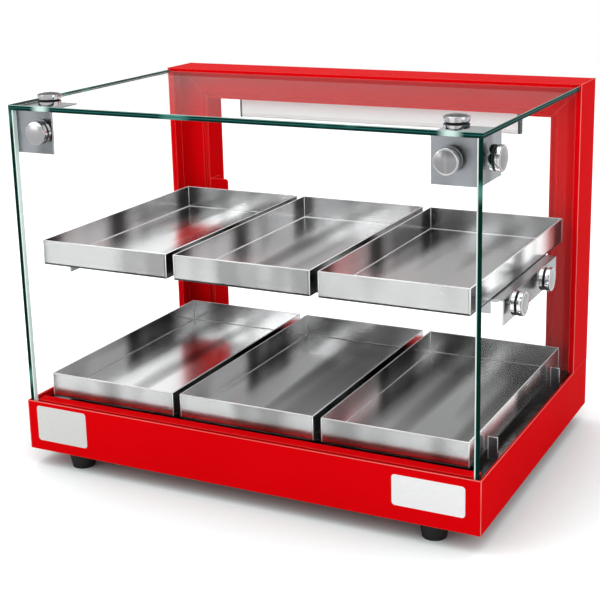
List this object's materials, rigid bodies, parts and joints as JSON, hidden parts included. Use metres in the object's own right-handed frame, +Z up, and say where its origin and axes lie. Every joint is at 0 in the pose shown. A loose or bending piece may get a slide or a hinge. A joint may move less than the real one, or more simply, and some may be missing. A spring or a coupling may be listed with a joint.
{
  "type": "countertop display case",
  "caption": "Countertop glass display case: red sheet-metal base and rear portal, stacked open steel trays on a railed shelf, corner brackets with round knobs, and a lamp.",
  "frame": {"origin": "centre of the footprint of the whole case with its knobs and gland, on the floor plane under the feet", "axes": "+Z up, -Y towards the customer side (front glass), +X to the right seen from the customer side"},
  "size_m": [0.6244, 0.4494, 0.475],
  "materials": {
    "red_paint": "glossy",
    "deck_steel": "satin",
    "cover_steel": "satin",
    "glass": "polished",
    "satin_steel": "satin",
    "knob_base_chrome": "polished",
    "knob_cap_chrome": "polished",
    "shelf_steel": "satin",
    "tray_steel": "satin",
    "black_paint": "satin",
    "lamp_body": "satin",
    "lamp_diffuser": "satin",
    "black_plastic": "satin",
    "rocker_red": "glossy",
    "rubber": "matte",
    "screw_steel": "satin",
    "element_steel": "satin",
    "terminal_ceramic": "glazed"
  },
  "bodies": {
    "case": {"base_housing": "red_paint", "bottom_cover": "cover_steel", "left_post": "red_paint", "right_post": "red_paint", "top_beam": "red_paint", "tray_stop_tab": "red_paint", "base_deck": "deck_steel", "glass_front": "glass", "glass_left": "glass", "glass_right": "glass", "glass_top": "glass", "corner_bracket_left": "satin_steel", "corner_bracket_right": "satin_steel", "corner_knob_bases": "knob_base_chrome", "rail_knob_bases": "knob_base_chrome", "corner_knob_caps": "knob_cap_chrome", "rail_knob_caps": "knob_cap_chrome", "shelf_rail_left": "shelf_steel", "shelf_rail_right": "shelf_steel", "shelf_front_bar": "shelf_steel", "shelf_rear_bar": "shelf_steel", "tray_runner_front": "black_paint", "tray_runner_rear": "black_paint", "deck_guide_tabs": "satin_steel", "guide_tab_nuts": "knob_cap_chrome", "lamp_housing": "lamp_body", "lamp_diffuser": "lamp_diffuser", "lamp_end_caps": "black_plastic", "switch_body": "black_plastic", "cable_gland": "black_plastic", "gland_locknut": "black_plastic", "feet": "rubber", "heating_element": "element_steel", "element_clips": "screw_steel", "terminal_block": "terminal_ceramic"},
    "upper_left_tray": {"upper_tray_left": "tray_steel"},
    "upper_middle_tray": {"upper_tray_middle": "tray_steel"},
    "upper_right_tray": {"upper_tray_right": "tray_steel"},
    "lower_left_tray": {"lower_tray_left": "tray_steel"},
    "lower_middle_tray": {"lower_tray_middle": "tray_steel"},
    "lower_right_tray": {"lower_tray_right": "tray_steel"},
    "rocker": {"switch_rocker": "rocker_red"}
  },
  "joints": [
    {"name": "upper_left_tray_lift", "type": "slide", "parent": "case", "child": "upper_left_tray", "axis": [0, 0, 1], "range_m": [0, 0.045]},
    {"name": "upper_middle_tray_draw", "type": "slide", "parent": "case", "child": "upper_middle_tray", "axis": [0, 1, 0], "range_m": [0, 0.42]},
    {"name": "upper_right_tray_lift", "type": "slide", "parent": "case", "child": "upper_right_tray", "axis": [0, 0, 1], "range_m": [0, 0.045]},
    {"name": "lower_left_tray_lift", "type": "slide", "parent": "case", "child": "lower_left_tray", "axis": [0, 0, 1], "range_m": [0, 0.045]},
    {"name": "lower_middle_tray_draw", "type": "slide", "parent": "case", "child": "lower_middle_tray", "axis": [0, 1, 0], "range_m": [0, 0.42]},
    {"name": "lower_right_tray_lift", "type": "slide", "parent": "case", "child": "lower_right_tray", "axis": [0, 0, 1], "range_m": [0, 0.045]},
    {"name": "rocker_tilt", "type": "hinge", "parent": "case", "child": "rocker", "pos_m": [0.19, 0.2125, 0.054], "axis": [1, 0, 0], "range_deg": [-20, 0]}
  ]
}
